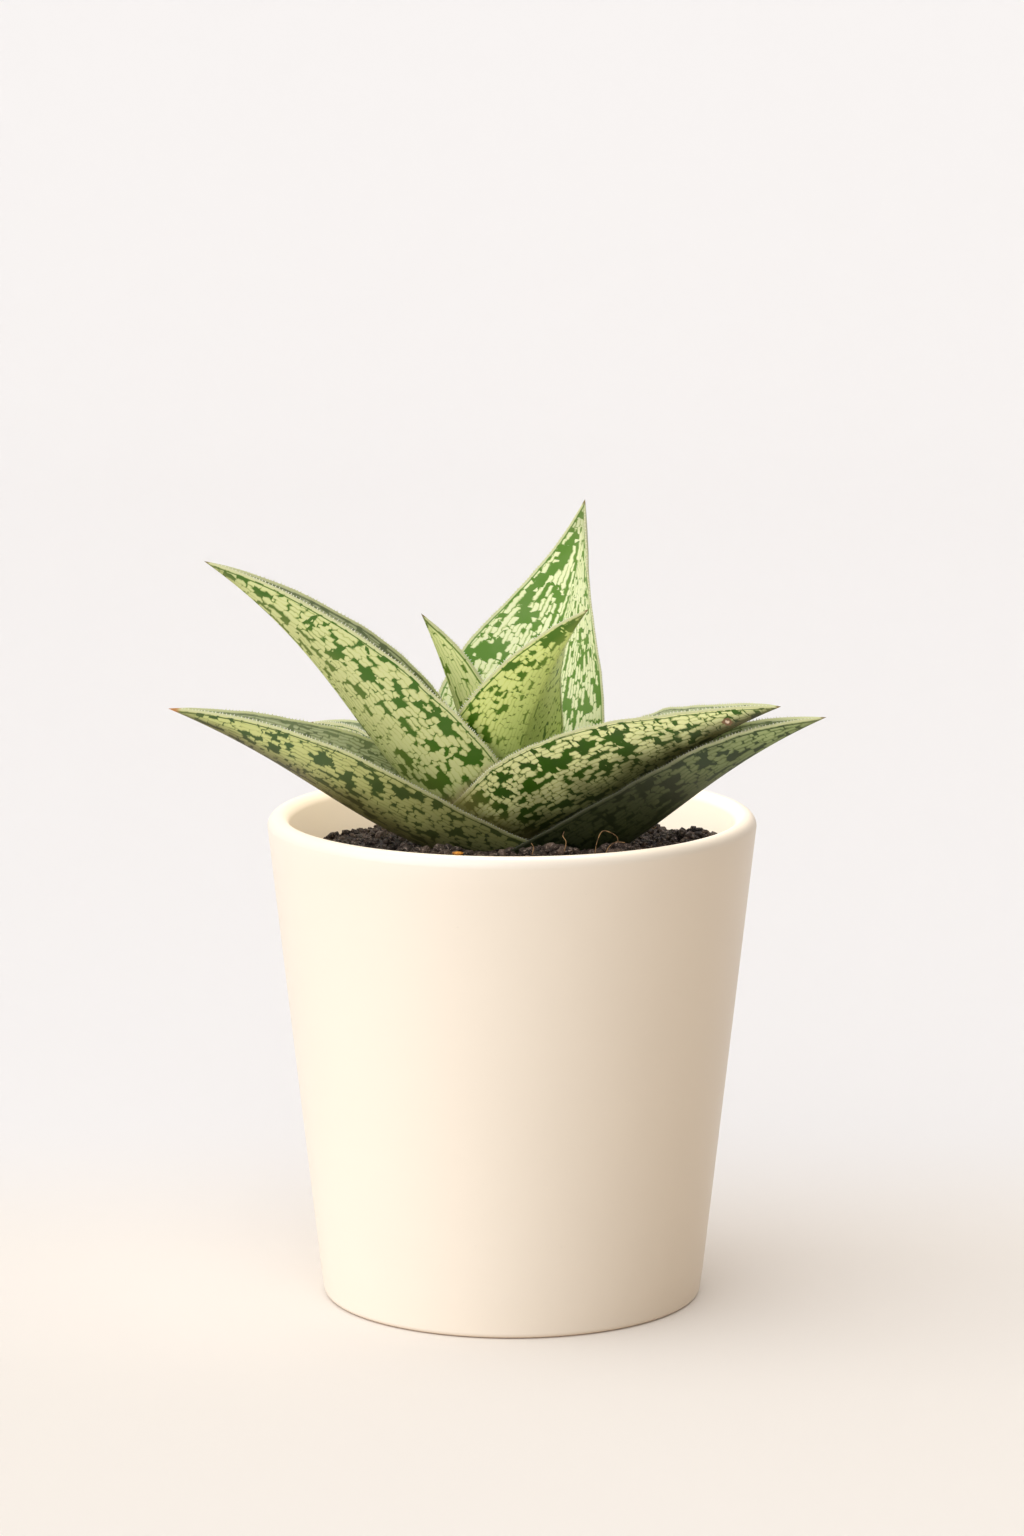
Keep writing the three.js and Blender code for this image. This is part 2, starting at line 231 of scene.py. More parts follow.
# Leaves, from the heart outwards. Lengths in mm, angles in degrees. Each starts at its base on the
# stem and runs along its keel. heading, rise, halves, fold and roll are read from base to tip, as in
# the solids. outer and inner name the looks of the two faces. marks are the largest green patches:
# distance from the base, place from margin (-1) over the keel (0) to margin (1), and radius. They lie
# on the outer face, or on the inner one where innerMarked is set. The base colour takes over on the
# outer face from baseReach towards the base, by baseShare at most. It is brown on leaf_left_inner and
# leaf_right_inner and a darker olive on leaf_left_outer. On leaf_right_outer it is painted shade, going
# near black towards the base where the leaf lies in shade. scar is a mark's place and radius too.
leaves = {
    "leaf_heart": {
        "base": (1, 1, 129), "heading": (75, 60), "rise": (76, 80, 82), "length": 38,
        "halves": (8.5, 8.5, 6.5, 3.5), "fold": (48, 60), "roll": (0, 0),
        "outer": "young", "inner": "young",
    },
    "leaf_left_young": {
        "base": (-3.8, 2.1, 126.9), "heading": (201, 204), "rise": (65, 72.5, 65), "length": 62,
        "halves": (12, 14, 11.7, 7.3), "fold": (42, 52), "roll": (1, 2),
        "outer": "young", "inner": "dull",
    },
    "leaf_front_young": {
        "base": (-1.5, -3.9, 127.3), "heading": (287, 310), "rise": (67.5, 56, 44), "length": 77.5,
        "halves": (16, 20.6, 15.6, 8.5), "fold": (28, 43), "roll": (0, 3),
        "outer": "lime", "inner": "dull",
        "marks": [(39, -0.56, 1.9), (28.8, -0.76, 2.1), (27.5, -0.5, 1.6), (55.3, -0.6, 1.8),
                  (54.5, -0.3, 1.4), (61.3, -0.65, 1.6), (70, -0.4, 1.7), (48.5, -0.5, 1.3),
                  (66, -0.75, 1.5), (72.5, -0.1, 1.4), (64, -0.3, 1.3)],
    },
    "leaf_back_tall": {
        "base": (2.7, 4.8, 123.2), "heading": (79, 23), "rise": (52, 64.5, 95), "length": 96,
        "halves": (23, 30, 27, 15), "fold": (34, 30), "roll": (0, 3),
        "outer": "dull", "inner": "streaked",
        "marks": [(90, 0.2, 1.3), (86, 0.35, 1.8), (83, 0.6, 1.4), (79.5, 0.45, 2.2), (70, 0.65, 2.0),
                  (66.5, 0.9, 1.8), (59.5, 0.55, 1.9), (50.5, 0.6, 2.2), (46, 0.82, 2.0),
                  (53, -0.66, 2.0), (36.5, -0.55, 2.1)],
        "innerMarked": True,
    },
    "leaf_left_inner": {
        "base": (-6.3, -1.1, 116.7), "heading": (202, 168), "rise": (40, 54.5, 34), "length": 112.5,
        "halves": (20, 26, 22.3, 11.5), "fold": (50, 70), "roll": (1, -3),
        "outer": "sage", "inner": "dull",
        "marks": [(28.7, 0.82, 2.8), (38.7, 0.78, 2.1), (37.5, 0.56, 1.8), (45.5, 0.84, 1.9),
                  (53.5, 0.68, 1.8), (63.4, 0.6, 2.1), (27.5, 0.42, 2.2), (71, 0.55, 1.5), (82, 0.67, 1.4)],
        "baseReach": (19, 25), "baseTintAndShade": (0.42, 0.30, 0.16),
    },
    "leaf_right_inner": {
        "base": (0.7, -0.4, 119.5), "heading": (327.5, 324.5), "rise": (23.5, 34, 24), "length": 95,
        "halves": (27.3, 32.3, 26.1, 12), "fold": (35, 50.5), "roll": (-1, -0.5),
        "outer": "spotted", "inner": "dull",
        "marks": [(10.8, -0.85, 2.0), (22.2, -0.88, 2.2), (25.3, -0.68, 2.0), (35.5, -0.8, 2.2),
                  (45.7, -0.78, 2.3), (53, -0.72, 2.0), (66.7, -0.66, 1.5), (72, -0.58, 1.5)],
        "baseReach": (3, 15), "baseTintAndShade": (0.30, 0.26, 0.08), "scar": (79.5, -0.4, 1.5),
        "keelReach": 0.85,
    },
    "leaf_back_middle": {
        "base": (1, 2, 114), "heading": (84, 74), "rise": (34, 30, 10), "length": 80,
        "halves": (26, 24, 17, 8.5), "fold": (44, 50), "roll": (0, 0),
        "outer": "sage", "inner": "dull",
    },
    "leaf_left_outer": {
        "base": (-2.4, -1.8, 114.8), "heading": (193, 175), "rise": (14, 33, 22.5), "length": 100,
        "halves": (21.4, 23.7, 20.3, 11), "fold": (44.5, 58.5), "roll": (-12, 1),
        "outer": "olive", "inner": "dull",
        "marks": [(59.3, 0.69, 2.1), (51.5, 0.61, 1.9), (44.3, 0.78, 2.0), (36.5, 0.82, 2.3),
                  (28, 0.87, 2.0), (68.3, 0.77, 1.5)],
        "tipEnd": 1.8, "tipBrown": (0.50, 0.22, 0.07),
        "baseReach": (10, 75), "baseTintAndShade": (0.07, 0.07, 0.02), "baseShare": 0.55,
    },
    "leaf_right_outer": {
        "base": (7, -8, 109.4), "heading": (333.5, 337.5), "rise": (27.5, 38, 26.5), "length": 97.5,
        "halves": (23.3, 20.7, 15.8, 9.8), "fold": (43, 64), "roll": (9.5, 12.5),
        "outer": "shaded", "inner": "dull",
        "marks": [(64, -0.64, 2.2), (54, -0.56, 2.2), (46.5, -0.82, 2.2), (72, -0.4, 1.7)],
        # Painted shade: the outer face darkens to near black towards the base, where this leaf lies in
        # shade
        "baseReach": (42, 100), "baseTintAndShade": (0.008, 0.012, 0.003), "baseShare": 0.93,
    },
    "leaf_back_left": {
        "base": (-1, 2, 113), "heading": (128, 141), "rise": (28, 26, 7), "length": 85,
        "halves": (25, 23, 16, 8), "fold": (42, 48), "roll": (0, 0),
        "outer": "sage", "inner": "dull",
    },
}

# The blade's section in mm, as in the solids, and its finer mesh and teeth
blade = {
    "keelPower": 1.5,
    "channelPower": 1.6,
    "fleshBase": 0.45,
    "fleshPerWidth": 0.135,
    "channelDepth": 0.65,
    "leastFlesh": 0.6,
    "edgeThickness": 0.5,
    "edgeReach": 0.3,
    "edgePoints": 3,
    "rowLength": 0.6,
    "columns": 28,
    "tipTaper": 5,
    "taperPower": 0.7,
    "tipShort": 0.01,
    "tipHalf": 0.3,
    "tipMargin": -0.3,
    "waves": 4,
    "wave": 0.12,
    "waveLengths": (7, 24),
    "waveFade": 4,
    "toothSpacing": 0.85,
    "toothScatter": (0.75, 1.25),
    "toothHeight": 0.65,
    "toothSizes": (0.6, 1.15),
    "toothFade": 6,
    "toothRadius": 0.24,
    "toothSides": 4,
    "toothLean": 0.35,
    "toothSunk": 0.15,
    "toothBack": 6,
    "toothMargins": (-0.4, -0.8),
    "toothEnd": 3,
}

# Looks of a face. Lengths in mm, colours linear. pitch is the width of a column of pale dashes, dash
# their spacing along it, fill their half width as a share of pitch, gaps the share of dashes that are
# missing at random, patches how much of the face is under green patches, line where the green line
# runs inside the margin. The keel colours take over towards the keel by their keel share. They are
# partly the face's duller colour near its keel and partly painted shade, dark on the spotted, olive
# and shaded looks, where the keel side faces away from the light.
faceLooks = {
    "young": {
        "pitch": 0.95, "dash": 8.0, "fill": 0.56, "gaps": 0.05, "patches": 0.02, "line": (0.6, 1.0),
        "green": (0.14, 0.27, 0.02), "deep": (0.10, 0.22, 0.015), "pale": (0.90, 0.95, 0.45),
        "cream": (0.80, 0.88, 0.34), "keelGreen": (0.20, 0.30, 0.05), "keelPale": (0.85, 0.92, 0.40),
        "keelDullAndShade": 0.3,
    },
    "lime": {
        "pitch": 1.2, "dash": 3.4, "fill": 0.6, "gaps": 0.07, "patches": 0.01, "line": (0.7, 1.0),
        "green": (0.055, 0.165, 0.003), "deep": (0.08, 0.19, 0.01), "pale": (0.76, 0.85, 0.31),
        "cream": (0.68, 0.78, 0.22), "keelGreen": (0.20, 0.30, 0.05), "keelPale": (0.58, 0.69, 0.21),
        "keelDullAndShade": 0.8,
    },
    "streaked": {
        "pitch": 1.5, "dash": 5.0, "fill": 0.46, "gaps": 0.09, "patches": 0.2, "line": (0.5, 1.2),
        "green": (0.10, 0.25, 0.008), "deep": (0.13, 0.27, 0.03), "pale": (0.88, 0.92, 0.57),
        "cream": (0.79, 0.85, 0.42), "keelGreen": (0.14, 0.28, 0.02), "keelPale": (0.90, 0.94, 0.58),
        "keelDullAndShade": 0.3,
    },
    "sage": {
        "pitch": 1.3, "dash": 3.6, "fill": 0.56, "gaps": 0.09, "patches": 0.14, "line": (0.65, 0.95),
        "green": (0.045, 0.15, 0.002), "deep": (0.055, 0.15, 0.01), "pale": (0.68, 0.72, 0.34),
        "cream": (0.60, 0.65, 0.25), "keelGreen": (0.16, 0.21, 0.04), "keelPale": (0.58, 0.61, 0.26),
        "keelDullAndShade": 0.8,
    },
    # Painted shade: near-black keel colours for this leaf's lower keel side, which faces down and away from
    # the light
    "spotted": {
        "pitch": 1.25, "dash": 2.7, "fill": 0.54, "gaps": 0.12, "patches": 0.17, "line": (0.7, 0.9),
        "green": (0.04, 0.13, 0.003), "deep": (0.04, 0.10, 0.012), "pale": (0.86, 0.90, 0.46),
        "cream": (0.72, 0.77, 0.32), "keelGreen": (0.016, 0.02, 0.003), "keelPale": (0.07, 0.07, 0.018),
        "keelDullAndShade": 1.0,
    },
    # Painted shade: dark brown-olive keel colours for the shaded underside of the leaf
    "olive": {
        "pitch": 1.15, "dash": 3.6, "fill": 0.56, "gaps": 0.09, "patches": 0.14, "line": (0.7, 1.0),
        "green": (0.045, 0.10, 0.02), "deep": (0.055, 0.11, 0.02), "pale": (0.60, 0.64, 0.25),
        "cream": (0.49, 0.54, 0.18), "keelGreen": (0.045, 0.04, 0.01), "keelPale": (0.13, 0.12, 0.04),
        "keelDullAndShade": 0.9,
    },
    # Painted shade: darker colours for a leaf that lies in shade, worn by leaf_right_outer
    "shaded": {
        "pitch": 1.15, "dash": 3.6, "fill": 0.54, "gaps": 0.09, "patches": 0.15, "line": (0.7, 1.0),
        "green": (0.03, 0.06, 0.015), "deep": (0.04, 0.08, 0.02), "pale": (0.40, 0.48, 0.20),
        "cream": (0.28, 0.36, 0.12), "keelGreen": (0.04, 0.06, 0.015), "keelPale": (0.20, 0.26, 0.09),
        "keelDullAndShade": 0.7,
    },
    "dull": {
        "pitch": 0.8, "dash": 3.6, "fill": 0.46, "gaps": 0.1, "patches": 0.12, "line": (0.5, 0.9),
        "green": (0.22, 0.27, 0.13), "deep": (0.17, 0.21, 0.10), "pale": (0.56, 0.60, 0.36),
        "cream": (0.46, 0.50, 0.28), "keelGreen": (0.15, 0.19, 0.08), "keelPale": (0.34, 0.38, 0.2),
        "keelDullAndShade": 0.4,
    },
}

# The columns of dashes: lengths in mm, scales of noise per mm, and shares of a dash or column. The
# keys set apart the random numbers of levels, faces and sides. The green patches come from two noises:
# their length and width, and how far the faces are apart in them.
dashes = {
    "widest": 1.1,
    "columnPower": 0.72,
    "leastReach": 0.02,
    "leastHalf": 0.3,
    "levelStep": 1.5,
    "levelWobble": 1.2,
    "wobbleScale": 0.2,
    "wobble": 0.8,
    "raggedScale": 0.75,
    "raggedAlong": 2.6,
    "raggedAcross": 0.9,
    "shift": 50.0,
    "driftScale": 0.4,
    "drift": 2.6,
    "halfLength": 0.51,
    "shorter": 0.22,
    "wider": 0.16,
    "fullnessScale": 0.16,
    "fullness": 0.35,
    "softness": 0.21,
    "heartReach": (-0.45, -0.05),
    "missing": 9.0,
    "levelKey": 31.0,
    "faceKey": 170.0,
    "sideKey": 57.0,
    "patchNoises": [(3.0, 9.0, 9), (2.0, 2.4, 7)],
    "patchLimit": 0.66,
    "patchShare": 0.45,
    "faceGap": 50.0,
}

# What the leaves share: mm, shares of the leaf's length, and linear colours. Each ring of a scar has
# the shares of its radius where its colour is full and where it ends.
leafSkins = {
    "faceGap": 40.0,
    "edgeWidth": 0.4,
    "edgeSoftness": 0.1,
    "edgePale": (0.64, 0.66, 0.36),
    "tooth": (0.92, 0.92, 0.78),
    "toothReach": (-0.7, -0.3),
    "lineSoftness": (0.12, 0.05),
    "lineShare": 0.9,
    "cloudScale": 0.12,
    "cloudReach": (0.35, 0.65),
    "keelStart": 0.1,
    "keelReach": 0.65,
    "keelUneven": 0.4,
    "tipStart": 0.86,
    "tipUneven": 0.1,
    "tipShare": 0.6,
    "tipColour": (0.13, 0.15, 0.05),
    "tipEnd": 0.9,
    "tipBrown": (0.22, 0.17, 0.06),
    "baseUneven": 10.0,
    "baseShare": 0.85,
    "scarRings": [(0.8, 1.0, (0.20, 0.11, 0.05)), (0.15, 0.4, (0.75, 0.62, 0.48))],
    "scarScale": 1.2,
    "roughness": 0.42,
    "paleRoughness": 0.06,
    "grainScale": 2200.0,
    "dashRelief": 0.7,
    "grainRelief": 0.3,
    "relief": 0.00012,
    "reliefStrength": 0.4,
    "specular": 0.4,
    "translucence": 0.08,
    "scatterDepths": (0.0015, 0.002, 0.0006),
}


def keelLine(leaf, t):
    # Centre, along, side and inward directions of the keel at each t, in mm
    length = leaf["length"]
    heading = np.radians(spread(leaf["heading"], t))
    rise = np.radians(spread(leaf["rise"], t))
    roll = np.radians(spread(leaf["roll"], t))[:, None]
    along = np.stack([np.cos(rise) * np.cos(heading), np.cos(rise) * np.sin(heading), np.sin(rise)], 1)
    level = np.stack([-np.sin(heading), np.cos(heading), 0 * heading], 1)
    up = np.cross(along, level)
    side = level * np.cos(roll) + up * np.sin(roll)
    inward = np.cross(along, side)
    steps = (along[1:] + along[:-1]) / 2 * np.diff(t)[:, None] * length
    centre = np.vstack([np.zeros(3), np.cumsum(steps, 0)]) + np.array(leaf["base"])
    return centre, along, side, inward


def acrossFace(x, y):
    # Share of the way over the face from -1 to 1, and half the way in mm
    run = np.hypot(np.diff(x), np.diff(y))
    reach = np.hstack([np.zeros((len(x), 1)), np.cumsum(run, 1)])
    whole = reach[:, -1:]
    return 2 * reach / np.maximum(whole, 1e-6) - 1, whole / 2 + 0 * reach


def bladeSection(leaf, t):
    # The section at each t as a closed ring of (sideways, inward) points, with its skin places
    half = np.maximum(spread((*leaf["halves"], 0), t), 0)[:, None]
    fold = np.radians(spread(leaf["fold"], t))[:, None]
    width = half * np.cos(fold)
    depth = half * np.sin(fold)
    taper = np.clip((1 - t[:, None]) * leaf["length"] / blade["tipTaper"], 0, 1) ** blade["taperPower"]
    flesh = (blade["fleshBase"] + blade["fleshPerWidth"] * half) / np.cos(fold)
    middle = np.minimum(flesh, blade["channelDepth"] * depth + blade["leastFlesh"]) * taper
    slope = np.hypot(width, blade["keelPower"] * depth) + 1e-9
    edgeX = width / slope
    edgeY = blade["keelPower"] * depth / slope
    thick = blade["edgeThickness"] * taper
    v = np.linspace(-1, 1, 2 * blade["columns"] + 1)[None, :]
    outerX = width * v
    outerY = depth * np.abs(v) ** blade["keelPower"]
    innerEdgeX = width - edgeY * thick
    innerEdgeY = depth + edgeX * thick
    innerX = innerEdgeX * v
    innerY = middle + (innerEdgeY - middle) * np.abs(v) ** blade["channelPower"]
    turnAngles = np.radians(np.linspace(-90, 90, blade["edgePoints"] + 2)[1:-1])[None, :]
    outward = np.cos(turnAngles) * blade["edgeReach"] * taper
    over = (np.sin(turnAngles) + 1) * thick / 2
    edgeRingX = width + edgeX * outward - edgeY * over
    edgeRingY = depth + edgeY * outward + edgeX * over
    ringX = np.hstack([outerX, edgeRingX, innerX[:, ::-1], -edgeRingX[:, ::-1]])
    ringY = np.hstack([outerY, edgeRingY, innerY[:, ::-1], edgeRingY[:, ::-1]])
    outerAcross, outerHalf = acrossFace(outerX, outerY)
    innerAcross, innerHalf = acrossFace(innerX, innerY)
    rim = np.ones((len(t), blade["edgePoints"]))
    across = np.hstack([outerAcross, rim, innerAcross[:, ::-1], -rim])
    halfArc = np.hstack([outerHalf, rim * outerHalf[:, :1], innerHalf[:, ::-1], rim * outerHalf[:, :1]])
    inside = np.hstack([0 * outerX, rim * 0.5, 0 * innerX + 1, rim * 0.5])
    beyond = np.hstack([0 * outerX, rim, 0 * innerX, rim])
    margin = (1 - np.abs(across)) * halfArc - beyond * blade["edgeReach"]
    return ringX, ringY, across, halfArc, inside, margin


def bladeWaves(leaf, t, chance):
    # Gentle unevenness of each margin along the leaf, in mm
    total = np.zeros((2, len(t)))
    for side in range(2):
        for _ in range(blade["waves"]):
            waveLength = chance.uniform(*blade["waveLengths"])
            phase = chance.uniform(0, 2 * math.pi)
            total[side] += np.sin(2 * math.pi * t * leaf["length"] / waveLength + phase)
    return total * blade["wave"] / 2


def arcHalf(leaf, along):
    # Half the way across the outer face in mm, along mm from the base
    t = np.array([along / leaf["length"]])
    return float(bladeSection(leaf, t)[3][0, 0])


def leafTeeth(leaf, place, along, halfArc, chance):
    # Small four-sided teeth on both margins, with their faces, skin places, margins and insides
    points, faces, skinPlaces, margins, insides = [], [], [], [], []
    sides = blade["toothSides"]
    rows, ring = len(along) - 1, place.shape[1]
    middleEdge = blade["edgePoints"] // 2
    columns = 2 * blade["columns"] + 1
    rootMargin, pointMargin = blade["toothMargins"]
    for way, column in ((1, columns + middleEdge), (-1, ring - 1 - middleEdge)):
        behind = (column - way * (middleEdge + blade["toothBack"])) % ring
        reach = blade["toothSpacing"]
        while reach < leaf["length"] - blade["toothEnd"]:
            left = 1 - reach / leaf["length"]
            height = blade["toothHeight"] * chance.uniform(*blade["toothSizes"])
            height *= min(1, blade["toothFade"] * left)
            at = (1 - left) * rows
            i = int(at)
            foot = place[i, column] + (place[i + 1, column] - place[i, column]) * (at - i)
            out = place[i, column] - place[i, behind]
            out = out - along[i] * out.dot(along[i])
            out = out / np.linalg.norm(out)
            thin = np.cross(along[i], out)
            root = len(points)
            for s in range(sides):
                angle = 2 * math.pi * s / sides
                spoke = along[i] * math.cos(angle) + thin * math.sin(angle)
                points.append(foot + spoke * blade["toothRadius"] - out * blade["toothSunk"])
                faces.append((root + s, root + (s + 1) % sides, root + sides))
            points.append(foot + (out + along[i] * blade["toothLean"]) * height)
            faces.append(tuple(root + s for s in reversed(range(sides))))
            skinPlaces += [(reach, way, halfArc[i, column])] * (sides + 1)
            margins += [rootMargin] * sides + [pointMargin]
            insides += [0.5] * (sides + 1)
            reach += blade["toothSpacing"] * chance.uniform(*blade["toothScatter"])
    return points, faces, skinPlaces, margins, insides


def bladeFaces(rows, ring):
    # Faces of the blade's skin: rings, the fan at the tip, and the cut end at the base
    faces = []
    for i in range(rows - 1):
        for j in range(ring):
            k = (j + 1) % ring
            faces.append((i * ring + j, i * ring + k, (i + 1) * ring + k, (i + 1) * ring + j))
    for j in range(ring):
        faces.append(((rows - 1) * ring + j, (rows - 1) * ring + (j + 1) % ring, rows * ring))
    columns = 2 * blade["columns"] + 1
    innerStart = columns + blade["edgePoints"]
    for j in range(columns - 1):
        faces.append((j + 1, j, innerStart + columns - 1 - j, innerStart + columns - 2 - j))
    faces.append(tuple(range(innerStart, columns - 2, -1)))
    faces.append((0, *range(ring - 1, innerStart + columns - 2, -1)))
    return faces


def makeLeaf(name, leaf, material):
    chance = random.Random(name)
    length = leaf["length"]
    rows = round(length / blade["rowLength"])
    t = np.linspace(0, 1, rows + 1)
    centre, along, side, inward = keelLine(leaf, t)
    ringX, ringY, across, halfArc, inside, margin = bladeSection(leaf, t)
    waves = bladeWaves(leaf, t, chance)
    steep = blade["waveFade"]
    fade = np.clip((1 - t) * steep, 0, 1)[:, None] * np.clip(t * steep, 0, 1)[:, None]
    wave = np.where(across < 0, waves[0][:, None], waves[1][:, None]) * np.abs(across) ** 2 * fade
    ringY = ringY + wave
    place = centre[:, None] + side[:, None] * ringX[..., None] + inward[:, None] * ringY[..., None]
    skin = np.stack([(t * length)[:, None] + 0 * across, across, halfArc], -1)[:-1].reshape(-1, 3)
    tip = centre[-1] - along[-1] * blade["tipShort"]

    teeth = leafTeeth(leaf, place, along, halfArc, chance)
    toothPoints, toothFaces, toothPlaces, toothMargins, toothInsides = teeth
    points = [*place[:-1].reshape(-1, 3), tip, *toothPoints]
    first = len(points) - len(toothPoints)
    faces = bladeFaces(rows, ringX.shape[1])
    faces += [tuple(first + corner for corner in face) for face in toothFaces]
    piece = makePiece(name + "_skin", np.array(points) * mm, faces, material, name)
    setAttribute(piece, "skinPlace", [*skin, (length, 0, blade["tipHalf"]), *toothPlaces])
    setAttribute(piece, "margin", [*margin[:-1].ravel(), blade["tipMargin"], *toothMargins])
    setAttribute(piece, "inside", [*inside[:-1].ravel(), 0.5, *toothInsides])
    return piece


class DashPattern:
    # Pale dashes in columns that run along the leaf and close up towards the keel. As the leaf
    # narrows, columns are dropped in steps, so that their pitch stays about the same.
    def __init__(self, shader, leaf, look, skinPlace, inside, flat, seed):
        along, across, half = skinPlace
        self.shader = shader
        self.leaf = leaf
        self.look = look
        self.half = half
        self.inside = inside
        self.seed = seed
        self.flank = across.math("SIGN")
        self.reach = abs(across).math("MAXIMUM", dashes["leastReach"])
        wobble = shader.noise(flat, dashes["wobbleScale"], 1.0) - 0.5
        push, slide, _ = shader.split(shader.noise(flat, dashes["raggedScale"], 1.0, output="Color"))
        self.along = along + (push - 0.5) * dashes["raggedAlong"]
        self.fullness = shader.noise(flat, dashes["fullnessScale"], 1.0) - 0.5

        wide = max(leaf["halves"]) * dashes["widest"]
        narrowing = wide / half.math("MAXIMUM", dashes["leastHalf"])
        narrowing = narrowing.math("LOGARITHM", dashes["levelStep"])
        level = (narrowing + wobble * dashes["levelWobble"]).math("FLOOR").math("MAXIMUM", 0.0)
        power = dashes["columnPower"]
        self.columns = dashes["levelStep"] ** (level * -1.0) * wide / look("pitch")
        count = self.reach ** power * self.columns + wobble * dashes["wobble"]
        count = count + (slide - 0.5) * dashes["raggedAcross"]
        self.pitch = half / self.columns * self.reach ** (1 - power) * (1 / power)
        key = level * dashes["levelKey"] + inside * dashes["faceKey"]
        self.key = key + self.flank * dashes["sideKey"] + seed

        column = count.math("FLOOR")
        away = count - column - 0.5
        beside = column + away.math("SIGN")
        first = self.distance(column, away)
        second = self.distance(beside, 1.0 - abs(away))
        self.nearest = first.math("MINIMUM", second)

    def distance(self, column, away):
        # How far a point is, in mm, from the dash beside it in a column, and below 0 inside the dash
        shader = self.shader
        length = self.look("dash")
        which = column + self.key
        settings = {"noise_dimensions": "1D"}
        shift = shader.add("ShaderNodeTexWhiteNoise", settings, {"W": which}) * dashes["shift"]
        driftPlace = shader.join(self.along / length * dashes["driftScale"], which)
        drift = shader.noise(driftPlace, 1.0, 0.0) * dashes["drift"]
        place = self.along / length + shift + drift
        dash = place.math("FLOOR")
        shorter, wider, lucky = shader.scatter(shader.join(dash, which))
        fill = (wider - 0.5) * dashes["wider"] + self.look("fill") + self.fullness * dashes["fullness"]
        size = self.pitch * fill
        body = (dashes["halfLength"] - shorter ** 3 * dashes["shorter"]) * length - size
        run = (abs(place - dash - 0.5) * length - body.math("MAXIMUM", 0.0)).math("MAXIMUM", 0.0)
        aside = away * self.pitch
        distance = (run * run + aside * aside).math("SQRT")
        middle = (dash + 0.5 - shift - dashes["drift"] / 2) * length
        return distance - size + self.missing(middle, column, lucky) * dashes["missing"]

    def missing(self, middle, column, lucky):
        # 1 for a dash that is left out, where the green patches are or by chance
        shader = self.shader
        centre = self.flank * self.half * ((column + 0.5) / self.columns) ** (1 / dashes["columnPower"])
        noises = []
        for long, wide, apart in dashes["patchNoises"]:
            place = shader.join(middle / long, centre / wide, self.inside * apart + self.seed)
            noises.append(shader.noise(place, 1.0, 1.0))
        limit = dashes["patchLimit"] - self.look("patches") * dashes["patchShare"]
        patch = (noises[0] * 0.5 + noises[1] * 0.5).math("GREATER_THAN", limit)
        here = shader.join(middle, centre, self.inside * dashes["faceGap"])
        face = dashes["faceGap"] * self.leaf.get("innerMarked", False)
        for along, across, size in self.leaf.get("marks", []):
            mark = (along, across * arcHalf(self.leaf, along), face)
            patch = patch.math("MAXIMUM", shader.distance(here, mark).math("LESS_THAN", size))
        return patch.math("MAXIMUM", lucky.math("LESS_THAN", self.look("gaps")))


def leafEnds(shader, leaf, colour, along, sideways, inside, flat, cloud):
    # The darker tip, the base colour (painted shade on leaf_right_outer) and the scar, painted over the
    # pattern in that order
    skin = leafSkins
    uneven = cloud - 0.5
    tipEnd = leaf.get("tipEnd", skin["tipEnd"])
    ending = shader.step(along, leaf["length"] - tipEnd * 2, leaf["length"] - tipEnd)
    colour = shader.mix(ending, colour, leaf.get("tipBrown", skin["tipBrown"]))
    # A brown base on some leaves; on leaf_right_outer this is painted shade, near black towards the base
    if "baseTintAndShade" in leaf:
        rooted = shader.fall(along + uneven * skin["baseUneven"], *leaf["baseReach"]) * (1.0 - inside)
        share = leaf.get("baseShare", skin["baseShare"])
        colour = shader.mix(rooted * share, colour, leaf["baseTintAndShade"])
    if "scar" in leaf:
        scarAlong, scarAcross, size = leaf["scar"]
        middle = (scarAlong, scarAcross * arcHalf(leaf, scarAlong), 0)
        away = shader.distance(shader.join(along, sideways), middle)
        away = away + (shader.noise(flat, skin["scarScale"], 2.0) - 0.5) * size
        for low, high, paint in skin["scarRings"]:
            colour = shader.mix(shader.fall(away, size * low, size * high), colour, paint)
    return colour


